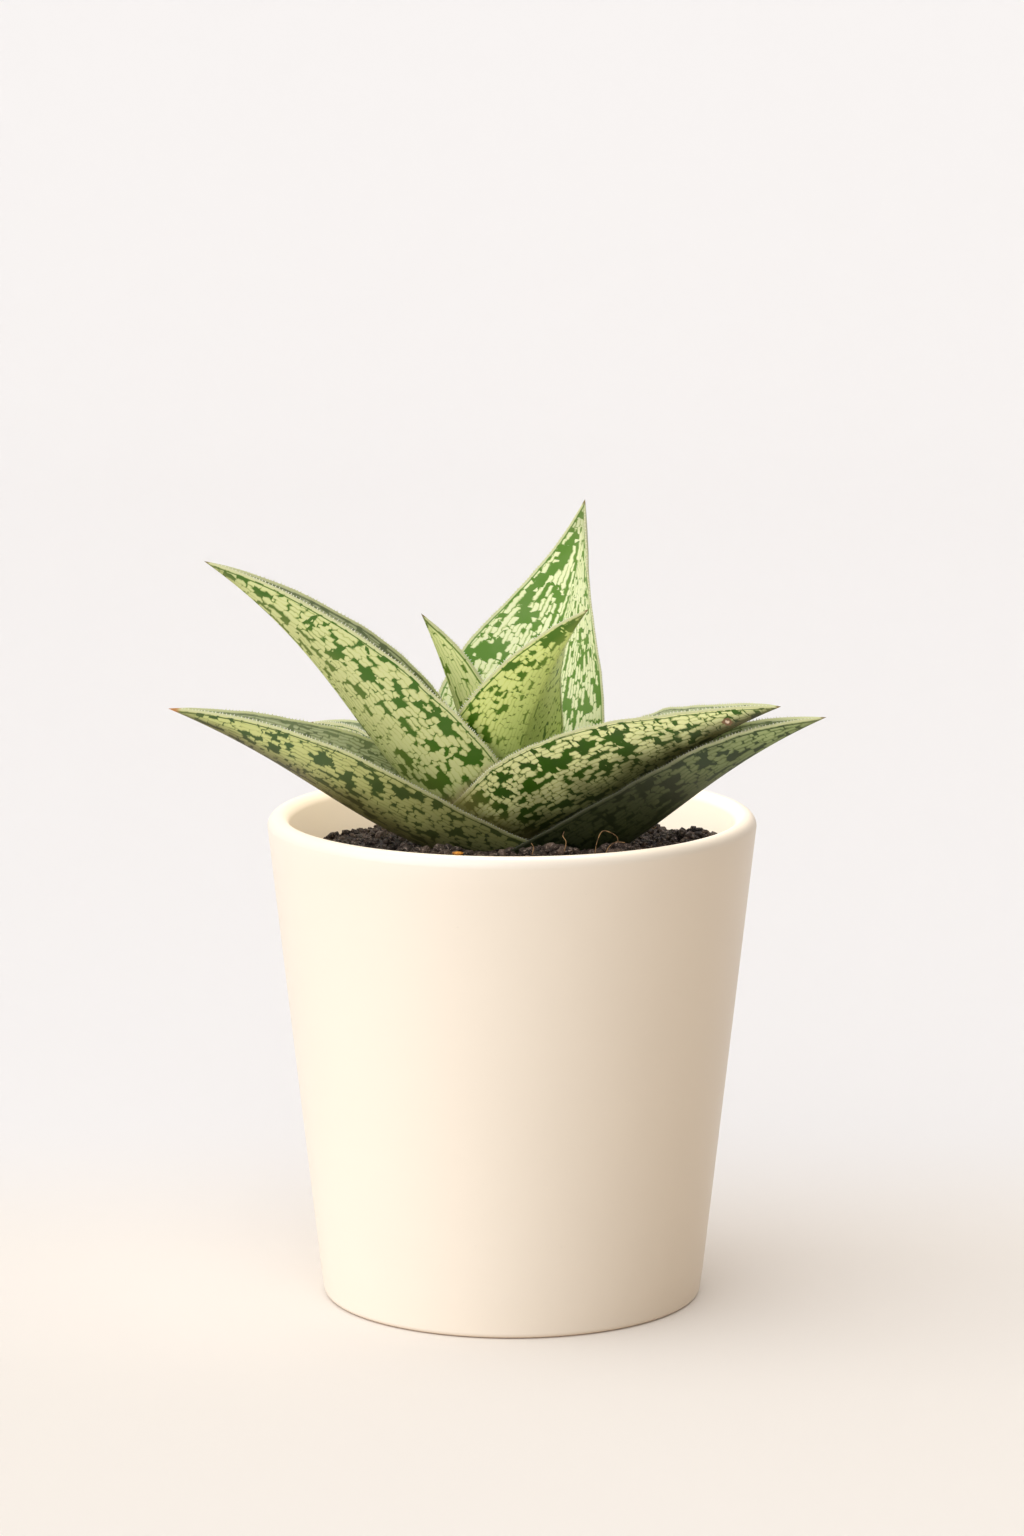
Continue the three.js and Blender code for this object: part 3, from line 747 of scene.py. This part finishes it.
def leafSkin(name, leaf):
    shader = Shader(name + "_skin")
    skin = leafSkins
    seed = float(sum(map(ord, name)) % 97)
    skinPlace = shader.split(shader.attribute("skinPlace", "Vector"))
    along, across, half = skinPlace
    sideways = across * half
    margin = shader.attribute("margin")
    inside = shader.attribute("inside").math("GREATER_THAN", 0.5)
    flat = shader.join(along, sideways, inside * skin["faceGap"] + seed)
    outer, inner = faceLooks[leaf["outer"]], faceLooks[leaf["inner"]]

    def look(key):
        # A face's number or colour, read from the looks of the outer or the inner face
        low, high = outer[key], inner[key]
        if low == high:
            return low
        if isinstance(low, tuple):
            return shader.mix(inside, low, high)
        return inside * (high - low) + low

    pattern = DashPattern(shader, leaf, look, skinPlace, inside, flat, seed)
    pale = shader.fall(pattern.nearest, -dashes["softness"], dashes["softness"])
    heart = shader.fall(pattern.nearest, *dashes["heartReach"])

    # The green line inside the margin, and the pale margin with its teeth
    lineLow, lineHigh = outer["line"]
    far, near = skin["lineSoftness"]
    line = shader.step(margin, lineLow - far, lineLow + near)
    line = line * shader.fall(margin, lineHigh - near, lineHigh + far)
    edgeWidth, edgeSoftness = skin["edgeWidth"], skin["edgeSoftness"]
    edge = shader.fall(margin, edgeWidth - edgeSoftness, edgeWidth + edgeSoftness)
    toothed = shader.fall(margin, *skin["toothReach"])
    pale = pale * (1.0 - line * skin["lineShare"])

    cloud = shader.noise(flat, skin["cloudScale"], 2.0)
    uneven = cloud - 0.5
    keelReach = leaf.get("keelReach", skin["keelReach"])
    # Towards the keel the keel colours take over: a duller face on most looks, painted shade on the
    # spotted, olive and shaded looks
    keelward = shader.fall(pattern.reach + uneven * skin["keelUneven"], skin["keelStart"], keelReach)
    keelward = keelward * look("keelDullAndShade")
    green = shader.mix(shader.step(cloud, *skin["cloudReach"]), look("green"), look("deep"))
    green = shader.mix(keelward, green, look("keelGreen"))
    cream = shader.mix(heart, look("cream"), look("pale"))
    cream = shader.mix(keelward, cream, look("keelPale"))
    colour = shader.mix(pale, green, cream)
    tipward = shader.step(along / leaf["length"] + uneven * skin["tipUneven"], skin["tipStart"], 1.0)
    colour = shader.mix(tipward * skin["tipShare"], colour, skin["tipColour"])
    colour = shader.mix(edge, colour, shader.mix(toothed, skin["edgePale"], skin["tooth"]))
    colour = leafEnds(shader, leaf, colour, along, sideways, inside, flat, cloud)

    grain = shader.noise(shader.position(), skin["grainScale"], 2.0)
    height = pale * (1.0 - edge) * skin["dashRelief"] + grain * skin["grainRelief"]
    bump = shader.bump(height, skin["relief"], skin["reliefStrength"])
    surface = shader.surface.inputs
    surface["Specular IOR Level"].default_value = skin["specular"]
    surface["Subsurface Weight"].default_value = skin["translucence"]
    surface["Subsurface Radius"].default_value = skin["scatterDepths"]
    surface["Subsurface Scale"].default_value = 1.0
    roughness = pale * skin["paleRoughness"] + skin["roughness"]
    return shader.finish(Base_Color=colour, Roughness=roughness, Normal=bump)


def makeLeaves():
    for name, leaf in leaves.items():
        makeLeaf(name, leaf, leafSkin(name, leaf))
    print("leaves made")


# Pot, in mm, as in the solids but turned in finer steps. Its glaze has linear colours, scales of noise
# per metre, and its bare foot and relief in metres.
pot = {
    "height": 130.4,
    "topRadius": 65,
    "baseRadius": 50.7,
    "wall": 5.8,
    "floor": 6,
    "footRounding": 1.6,
    "floorFillet": 7,
    "insideTop": 120,
    "steps": 192,
    "wallRings": 24,
    "glaze": (0.78, 0.655, 0.505),
    "glazeShade": 0.975,
    "cloudScale": 14.0,
    "cloudReach": (0.3, 0.7),
    "pit": (0.66, 0.55, 0.42),
    "pitScale": 900.0,
    "pitReach": (0.74, 0.8),
    "pitShare": 0.35,
    "clay": (0.60, 0.44, 0.31),
    "clayReach": (0.0002, 0.0006),
    "roughness": (0.32, 0.4),
    "roughReach": (0.2, 0.8),
    "clayRoughness": 0.4,
    "specular": 0.4,
    "rippleScales": (6.0, 90.0),
    "pitRelief": 0.15,
    "relief": 0.0004,
    "reliefStrength": 0.25,
}


def potSlope():
    return (pot["topRadius"] - pot["baseRadius"]) / (pot["height"] - pot["wall"] / 2)


def potInside(height):
    return pot["baseRadius"] + potSlope() * height - pot["wall"]


def glazeMaterial():
    shader = Shader("cream_glaze")
    place = shader.position()
    cloud = shader.noise(place, pot["cloudScale"], 3.0)
    shade = [part * pot["glazeShade"] for part in pot["glaze"]]
    colour = shader.mix(shader.step(cloud, *pot["cloudReach"]), pot["glaze"], shade)
    pits = shader.noise(place, pot["pitScale"], 2.0)
    colour = shader.mix(shader.step(pits, *pot["pitReach"]) * pot["pitShare"], colour, pot["pit"])
    x, y, height = shader.split(place)
    bare = shader.fall(height, *pot["clayReach"])
    colour = shader.mix(bare, colour, pot["clay"])
    around, upward = pot["rippleScales"]
    ripple = shader.noise(shader.join(x * around, y * around, height * upward), 1.0, 2.0)
    bump = shader.bump(ripple + pits * pot["pitRelief"], pot["relief"], pot["reliefStrength"])
    shader.surface.inputs["Specular IOR Level"].default_value = pot["specular"]
    low, high = pot["roughness"]
    roughness = shader.step(cloud, *pot["roughReach"]) * (high - low) + low + bare * pot["clayRoughness"]
    return shader.finish(Base_Color=colour, Roughness=roughness, Normal=bump)


def makePot():
    rim = pot["wall"] / 2
    rimHeight = pot["height"] - rim
    foot = pot["footRounding"]
    fillet = pot["floorFillet"]
    filletRadius = potInside(pot["floor"]) - fillet
    outside = [
        (pot["baseRadius"] + potSlope() * h, h)
        for h in np.linspace(foot, rimHeight, pot["wallRings"] + 2)[1:-1]
    ]
    profile = [
        (0, 0),
        *[(pot["baseRadius"] * f, 0) for f in (0.4, 0.8)],
        *arc(pot["baseRadius"] - foot, foot, foot, -90, 0, 8),
        *outside,
        *arc(pot["topRadius"] - rim, rimHeight, rim, 0, 180, 20),
        (potInside(pot["insideTop"]), pot["insideTop"]),
        *arc(filletRadius, pot["floor"] + fillet, fillet, 0, -90, 8),
        (0, pot["floor"]),
    ]
    points, faces = turn(profile, pot["steps"])
    makePiece("pot_glazed", np.array(points) * mm, faces, glazeMaterial(), "pot")
    print("pot made")


# Soil, in mm. Crumbs lie all over it, and are piled against the leaves where the heaps are: x, y,
# half widths in x and y, and height over the bed. heapCrumbs times the half widths and the root of the
# height is how many crumbs a heap has. Each fibre is a run of points. Colours are linear, and scales of
# noise and reliefs go by metres.
soil = {
    "edgeHeight": 118.2,
    "mound": 4.2,
    "gap": 0.45,
    "rings": 70,
    "steps": 200,
    "lumpSeed": 11,
    "lumps": 260,
    "lumpRadius": (1.6, 5.0),
    "lumpHeight": (-0.9, 1.5),
    "lumpGain": 1.3,
    "crumbSeed": 3,
    "crumbs": 2800,
    "crumbRadius": (0.35, 1.5),
    "crumbPower": 2.2,
    "crumbStart": 0.02,
    "crumbRise": (-0.1, 0.5),
    "crumbStretch": [(0.7, 1.2), (0.7, 1.2), (0.5, 0.95)],
    "crumbJitter": (0.75, 1.2),
    "heaps": [(-19, -31, 20, 9, 5.2), (8, -34, 20, 9, 6.6), (29, -29, 15, 10, 6.4), (49, 5, 12, 16, 5.2)],
    "heapCrumbs": 1.1,
    "heapCrumbRadius": (0.8, 1.7),
    "heapPower": 0.35,
    "fibres": [
        [(13.6, -37, 127), (14, -37.4, 129.6), (13.2, -37.2, 131), (13.5, -37, 132.2)],
        [(21.5, -37, 126.5), (22, -37.5, 129.5), (23.3, -37.8, 132.4), (25.3, -37.8, 132.2),
         (27.2, -37.5, 130.9), (27.4, -37, 129.4)],
        [(24.2, -38, 126.5), (25.2, -38.6, 128.6), (27.0, -38.9, 129.8), (29.2, -38.6, 129.6)],
        [(5.2, -38, 126.3), (5.6, -38.3, 128.2), (5.0, -38.2, 129.4)],
    ],
    "looseFibres": 26,
    "looseReach": (0.45, 0.9),
    "loosePoints": 6,
    "looseLength": (3, 9),
    "looseTurn": (-0.7, 0.7),
    "looseRise": (0.2, 1.4),
    "fibreRadius": 0.11,
    "fibreSides": 5,
    "chip": (-14, -36.5, 126.4),
    "chipSize": (1.6, 0.7, 0.5),
    "chipJitter": (0.8, 1.2),
    "coarseScale": 260.0,
    "coarseReach": (0.35, 0.65),
    "fineScale": 1300.0,
    "darkColours": [(0.011, 0.006, 0.003), (0.052, 0.031, 0.021)],
    "crumbColour": (0.17, 0.115, 0.085),
    "tonePower": 4,
    # Painted highlights: pale specks in the soil's colour stand for its wet glints
    "glintColour": (0.40, 0.30, 0.25),
    "glintReach": (0.54, 0.68),
    "glintShare": 0.85,
    "relief": 0.0012,
    "fibreSkin": {
        "colours": [(0.10, 0.05, 0.022), (0.42, 0.25, 0.11)],
        "scale": 900.0, "detail": 2.0, "reach": (0.35, 0.65), "relief": 0.0001,
    },
    "chipSkin": {
        "colours": [(0.85, 0.36, 0.04), (0.45, 0.16, 0.03)],
        "scale": 1500.0, "detail": 3.0, "reach": (0.35, 0.7), "relief": 0.0003,
    },
}


class SoilTop:
    def __init__(self):
        chance = random.Random(soil["lumpSeed"])
        self.edge = potInside(soil["edgeHeight"]) - soil["gap"]
        self.lumps = []
        for _ in range(soil["lumps"]):
            angle = chance.uniform(0, 2 * math.pi)
            radius = self.edge * math.sqrt(chance.random())
            size = chance.uniform(*soil["lumpRadius"])
            tall = chance.uniform(*soil["lumpHeight"]) * size / soil["lumpRadius"][1] * soil["lumpGain"]
            self.lumps.append((radius * math.cos(angle), radius * math.sin(angle), size, tall))

    def height(self, x, y):
        x = np.asarray(x, float)
        y = np.asarray(y, float)
        out = np.minimum(np.hypot(x, y) / self.edge, 1)
        total = soil["edgeHeight"] + soil["mound"] * (1 - out ** 2)
        for lumpX, lumpY, size, tall in self.lumps:
            total = total + tall * np.exp(-((x - lumpX) ** 2 + (y - lumpY) ** 2) / size ** 2)
        return total


def soilMaterial():
    shader = Shader("potting_soil")
    place = shader.position()
    coarse = shader.noise(place, soil["coarseScale"], 3.0, 0.6)
    fine = shader.noise(place, soil["fineScale"], 3.0, 0.65)
    dark = shader.mix(shader.step(coarse, *soil["coarseReach"]), *soil["darkColours"])
    dark = shader.mix(shader.attribute("tone"), dark, soil["crumbColour"])
    # Painted highlights: pale specks mixed into the colour for the soil's wet glints
    glint = shader.step(fine, *soil["glintReach"]) * soil["glintShare"]
    colour = shader.mix(glint, dark, soil["glintColour"])
    bump = shader.bump(fine + coarse * 0.6, soil["relief"])
    return shader.finish(Base_Color=colour, Roughness=fine * 0.4 + 0.45, Normal=bump)


def grainMaterial(name, skin):
    # Two colours mixed by a fine grain, which is felt too
    shader = Shader(name)
    grain = shader.noise(shader.position(), skin["scale"], skin["detail"])
    colour = shader.mix(shader.step(grain, *skin["reach"]), *skin["colours"])
    bump = shader.bump(grain, skin["relief"])
    return shader.finish(Base_Color=colour, Roughness=grain * 0.3 + 0.5, Normal=bump)


def lumpCorners():
    # The 12 corners of a regular solid with 20 faces, 1 from its centre
    gold = (1 + math.sqrt(5)) / 2
    corners = []
    for a in (-1, 1):
        for b in (-gold, gold):
            corners += [(0, a, b), (a, b, 0), (b, 0, a)]
    return np.array(corners) / math.hypot(1, gold)


def lumpFaces():
    # Its faces are the corners that lie an edge, 1.05, from each other
    corners = [Vector(corner) for corner in lumpCorners()]
    faces = []
    for i, j, k in itertools.combinations(range(len(corners)), 3):
        a, b, c = corners[i], corners[j], corners[k]
        if max((a - b).length, (b - c).length, (a - c).length) < 1.1:
            turned = (b - a).cross(c - a).dot(a) < 0
            faces.append((i, k, j) if turned else (i, j, k))
    return np.array(faces)


def crumbShape(chance, size):
    # A small irregular lump, turned at random about the Z axis
    corners = lumpCorners()
    stretch = np.array([chance.uniform(*span) for span in soil["crumbStretch"]])
    jitter = np.array([[chance.uniform(*soil["crumbJitter"])] for _ in corners])
    angle = chance.uniform(0, 2 * math.pi)
    c, s = math.cos(angle), math.sin(angle)
    return (corners * stretch * jitter * size) @ np.array([[c, s, 0], [-s, c, 0], [0, 0, 1]])


def crumbPlaces(top, chance):
    # Middle and size of each crumb: first those spread over the bed, then those of the heaps
    places = []
    low, high = soil["crumbRadius"]
    for _ in range(soil["crumbs"]):
        angle = chance.uniform(0, 2 * math.pi)
        size = low + (high - low) * chance.random() ** soil["crumbPower"]
        radius = (top.edge - size) * math.sqrt(chance.uniform(soil["crumbStart"], 1))
        x, y = radius * math.cos(angle), radius * math.sin(angle)
        places.append((x, y, float(top.height(x, y)) + size * chance.uniform(*soil["crumbRise"]), size))
    for middleX, middleY, wide, deep, tall in soil["heaps"]:
        for _ in range(round(wide * deep * math.sqrt(tall) * soil["heapCrumbs"])):
            angle = chance.uniform(0, 2 * math.pi)
            out = math.sqrt(chance.random())
            x = middleX + wide * out * math.cos(angle)
            y = middleY + deep * out * math.sin(angle)
            size = chance.uniform(*soil["heapCrumbRadius"])
            rise = tall * (1 - out ** 2) * chance.random() ** soil["heapPower"]
            if math.hypot(x, y) + size < top.edge:
                places.append((x, y, float(top.height(x, y)) + rise, size))
    return places


def fibreRuns(top, chance):
    runs = list(soil["fibres"])
    for _ in range(soil["looseFibres"]):
        angle = chance.uniform(0, 2 * math.pi)
        radius = chance.uniform(*soil["looseReach"]) * top.edge
        x, y = radius * math.cos(angle), radius * math.sin(angle)
        way = chance.uniform(0, 2 * math.pi)
        step = chance.uniform(*soil["looseLength"]) / (soil["loosePoints"] - 1)
        run = []
        for _ in range(soil["loosePoints"]):
            x = x + step * math.cos(way)
            y = y + step * math.sin(way)
            way += chance.uniform(*soil["looseTurn"])
            inside = min(1, (top.edge - 1) / math.hypot(x, y))
            x, y = x * inside, y * inside
            run.append((x, y, float(top.height(x, y)) + chance.uniform(*soil["looseRise"])))
        runs.append(run)
    return runs


def tube(run, radius, sides):
    # Points and faces of a thin closed tube through a run of points
    t = np.linspace(0, 1, 4 * len(run))
    line = np.stack([spread([point[axis] for point in run], t) for axis in range(3)], 1)
    points, faces = [], []
    for i, centre in enumerate(line):
        along = Vector(line[min(i + 1, len(line) - 1)] - line[max(i - 1, 0)]).normalized()
        side = along.orthogonal().normalized()
        over = along.cross(side)
        for k in range(sides):
            angle = 2 * math.pi * k / sides
            points.append(Vector(centre) + (side * math.cos(angle) + over * math.sin(angle)) * radius)
    for i in range(len(line) - 1):
        for k in range(sides):
            n = (k + 1) % sides
            faces.append((i * sides + k, i * sides + n, (i + 1) * sides + n, (i + 1) * sides + k))
    faces.append(tuple(reversed(range(sides))))
    faces.append(tuple(range(len(points) - sides, len(points))))
    return points, faces


def makeBed(top, material):
    gap = soil["gap"]
    fillet = pot["floorFillet"]
    filletRadius = potInside(pot["floor"]) - fillet
    rings = [(top.edge * (1 - i / soil["rings"]), soil["edgeHeight"]) for i in range(soil["rings"])]
    profile = [
        (0, pot["floor"] + gap),
        *arc(filletRadius, pot["floor"] + fillet, fillet - gap, -90, 0, 6),
        *rings,
        (0, soil["edgeHeight"]),
    ]
    points, faces = turn(profile, soil["steps"])
    points = np.array(points)
    onTop = points[:, 2] > soil["edgeHeight"] - gap
    points[onTop, 2] = top.height(points[onTop, 0], points[onTop, 1])
    bed = makePiece("soil_bed", points * mm, faces, material, "soil")
    setAttribute(bed, "tone", np.zeros(len(points)))


def makeCrumbs(top, chance, material):
    places = crumbPlaces(top, chance)
    crumbs = [crumbShape(chance, size) + (x, y, z) for x, y, z, size in places]
    corners = len(crumbs[0])
    tones = np.repeat([chance.random() ** soil["tonePower"] for _ in crumbs], corners)
    lump = lumpFaces()
    faces = np.vstack([lump + corners * i for i in range(len(crumbs))]).tolist()
    pile = makePiece("soil_crumbs", np.vstack(crumbs) * mm, faces, material)
    setAttribute(pile, "tone", tones)
    pile.data.polygons.foreach_set("use_smooth", np.zeros(len(faces), bool))


def makeFibres(top, chance):
    points, faces = [], []
    for run in fibreRuns(top, chance):
        tubePoints, tubeFaces = tube(run, soil["fibreRadius"], soil["fibreSides"])
        faces += [tuple(len(points) + corner for corner in face) for face in tubeFaces]
        points += [point * mm for point in tubePoints]
    material = grainMaterial("root_fibre", soil["fibreSkin"])
    makePiece("root_fibres", points, faces, material)


def makeChip(chance):
    corners = lumpCorners()
    corners = corners * soil["chipSize"] * [[chance.uniform(*soil["chipJitter"])] for _ in corners]
    material = grainMaterial("bark_chip", soil["chipSkin"])
    makePiece("bark_chip", (corners + soil["chip"]) * mm, lumpFaces().tolist(), material)


def makeSoil():
    top = SoilTop()
    chance = random.Random(soil["crumbSeed"])
    material = soilMaterial()
    makeBed(top, material)
    makeCrumbs(top, chance, material)
    makeFibres(top, chance)
    makeChip(chance)
    print("soil made")


# Stem and roots: linear colours, and scales of noise and relief by metres
stem = {
    "skin": (0.50, 0.37, 0.22),
    "rings": (0.30, 0.20, 0.11),
    "ringScales": (60.0, 500.0),
    "ringReach": (0.35, 0.65),
    "spots": (0.12, 0.07, 0.04),
    "spotScale": 420.0,
    "spotReach": (0.55, 0.7),
    "spotRelief": 0.5,
    "relief": 0.0006,
    "reliefStrength": 0.7,
}


def rootMaterial():
    shader = Shader("root_skin")
    place = shader.position()
    x, y, height = shader.split(place)
    around, upward = stem["ringScales"]
    ring = shader.noise(shader.join(x * around, y * around, height * upward), 1.0, 3.0)
    spots = shader.noise(place, stem["spotScale"], 3.0)
    colour = shader.mix(shader.step(ring, *stem["ringReach"]), stem["skin"], stem["rings"])
    colour = shader.mix(shader.step(spots, *stem["spotReach"]), colour, stem["spots"])
    bump = shader.bump(ring + spots * stem["spotRelief"], stem["relief"], stem["reliefStrength"])
    return shader.finish(Base_Color=colour, Roughness=spots * 0.2 + 0.6, Normal=bump)


def finishStem():
    # The solid itself stays, since leaves and soil hide it, and gets its skin
    solid = bpy.data.objects["stem_and_roots"]
    solid.material_slots[0].material = rootMaterial()
    print("stem finished")


# Stage, camera and lights, in metres and degrees. The wall stands behind a camera on any side.
stage = {
    "floorColour": (0.893, 0.845, 0.785),
    "farColour": (0.878, 0.863, 0.855),
    "farReach": (0.02, 0.2),
    "wallColour": (0.925, 0.92, 0.925),
    "wallStart": 1.8,
    "bend": 0.8,
    "bendSteps": 16,
    "halfWidth": 8.0,
    "front": -8.0,
    "wallHeight": 8.0,
}

camera = {
    "place": (0, -1.39505, 0.38604),
    "pitch": 9.904,
    "lens": 125.0,
    "sensor": 36.0,
}

# Light comes softly from the left. The pot has a key light of its own, which the leaves don't shade.
# turn and height say where it comes from, and spread how soft it is, in degrees.
lights = {
    "plant_key": {
        "turn": -70, "height": 35, "spread": 140, "power": 3.2, "colour": (1, 1, 1.02), "pot": False,
    },
    "pot_key": {
        "turn": -48, "height": 35, "spread": 75, "power": 3.45, "colour": (0.88, 1, 1.2), "pot": True,
    },
}
# A faint lamp over the pot's mouth, which lights the pot's inside alone
bowl = {"place": (0, 0, 0.20), "size": 0.1, "power": 0.135, "colour": (1, 0.95, 0.86)}
world = {"colour": (1.0, 0.945, 0.88), "strength": 0.37}


def makeStage():
    profile = [(stage["front"], 0), (0, 0)]
    bend = stage["bend"]
    steps = stage["bendSteps"]
    for i in range(steps + 1):
        angle = math.pi / 2 * i / steps
        profile.append((stage["wallStart"] + bend * math.sin(angle), bend * (1 - math.cos(angle))))
    profile.append((stage["wallStart"] + bend, stage["wallHeight"]))
    wide = stage["halfWidth"]
    points = [(x, y, z) for y, z in profile for x in (-wide, wide)]
    faces = [(2 * i, 2 * i + 1, 2 * i + 3, 2 * i + 2) for i in range(len(profile) - 1)]
    shader = Shader("backdrop_paper")
    x, depth, height = shader.split(shader.position())
    colour = shader.mix(shader.step(depth, *stage["farReach"]), stage["floorColour"], stage["farColour"])
    colour = shader.mix(shader.step(height, 0.0, stage["bend"]), colour, stage["wallColour"])
    shader.surface.inputs["Specular IOR Level"].default_value = 0.0
    paper = shader.finish(Base_Color=colour, Roughness=1.0)
    makeMesh("backdrop", points, faces, paper)
    print("stage made")


def makeCamera():
    data = bpy.data.cameras.new("camera")
    data.lens = camera["lens"]
    data.sensor_fit = "VERTICAL"
    data.sensor_height = camera["sensor"]
    view = bpy.data.objects.new("camera", data)
    view.location = camera["place"]
    view.rotation_euler = (math.radians(90 - camera["pitch"]), 0, 0)
    bpy.context.scene.collection.objects.link(view)
    bpy.context.scene.camera = view


def makeLamp(name, kind, light, lit):
    data = bpy.data.lights.new(name, kind)
    data.energy = light["power"]
    data.color = light["colour"]
    lamp = bpy.data.objects.new(name, data)
    lamp.light_linking.receiver_collection = lit
    bpy.context.scene.collection.objects.link(lamp)
    return lamp


def makeLights():
    meshes = [piece for piece in bpy.context.scene.objects if piece.type == "MESH"]
    for name, light in lights.items():
        lit = bpy.data.collections.new(name + "_lit")
        for piece in meshes:
            if piece.name.startswith("pot") == light["pot"]:
                lit.objects.link(piece)
        lamp = makeLamp(name, "SUN", light, lit)
        lamp.data.angle = math.radians(light["spread"])
        lamp.rotation_euler = (math.radians(90 - light["height"]), 0, math.radians(light["turn"]))
        if light["pot"]:
            lamp.light_linking.blocker_collection = lit
    potLit = bpy.data.collections["pot_key_lit"]
    lamp = makeLamp("bowl", "AREA", bowl, potLit)
    lamp.data.shape = "DISK"
    lamp.data.size = bowl["size"]
    lamp.location = bowl["place"]
    lamp.visible_camera = False
    lamp.light_linking.blocker_collection = potLit
    room = bpy.data.worlds.new("room")
    room.use_nodes = True
    background = room.node_tree.nodes["Background"]
    background.inputs["Color"].default_value = (*world["colour"], 1)
    background.inputs["Strength"].default_value = world["strength"]
    bpy.context.scene.world = room
    bpy.context.scene.view_settings.view_transform = "Standard"
    print("lights made")


makePot()
makeSoil()
finishStem()
makeLeaves()
makeStage()
makeCamera()
makeLights()
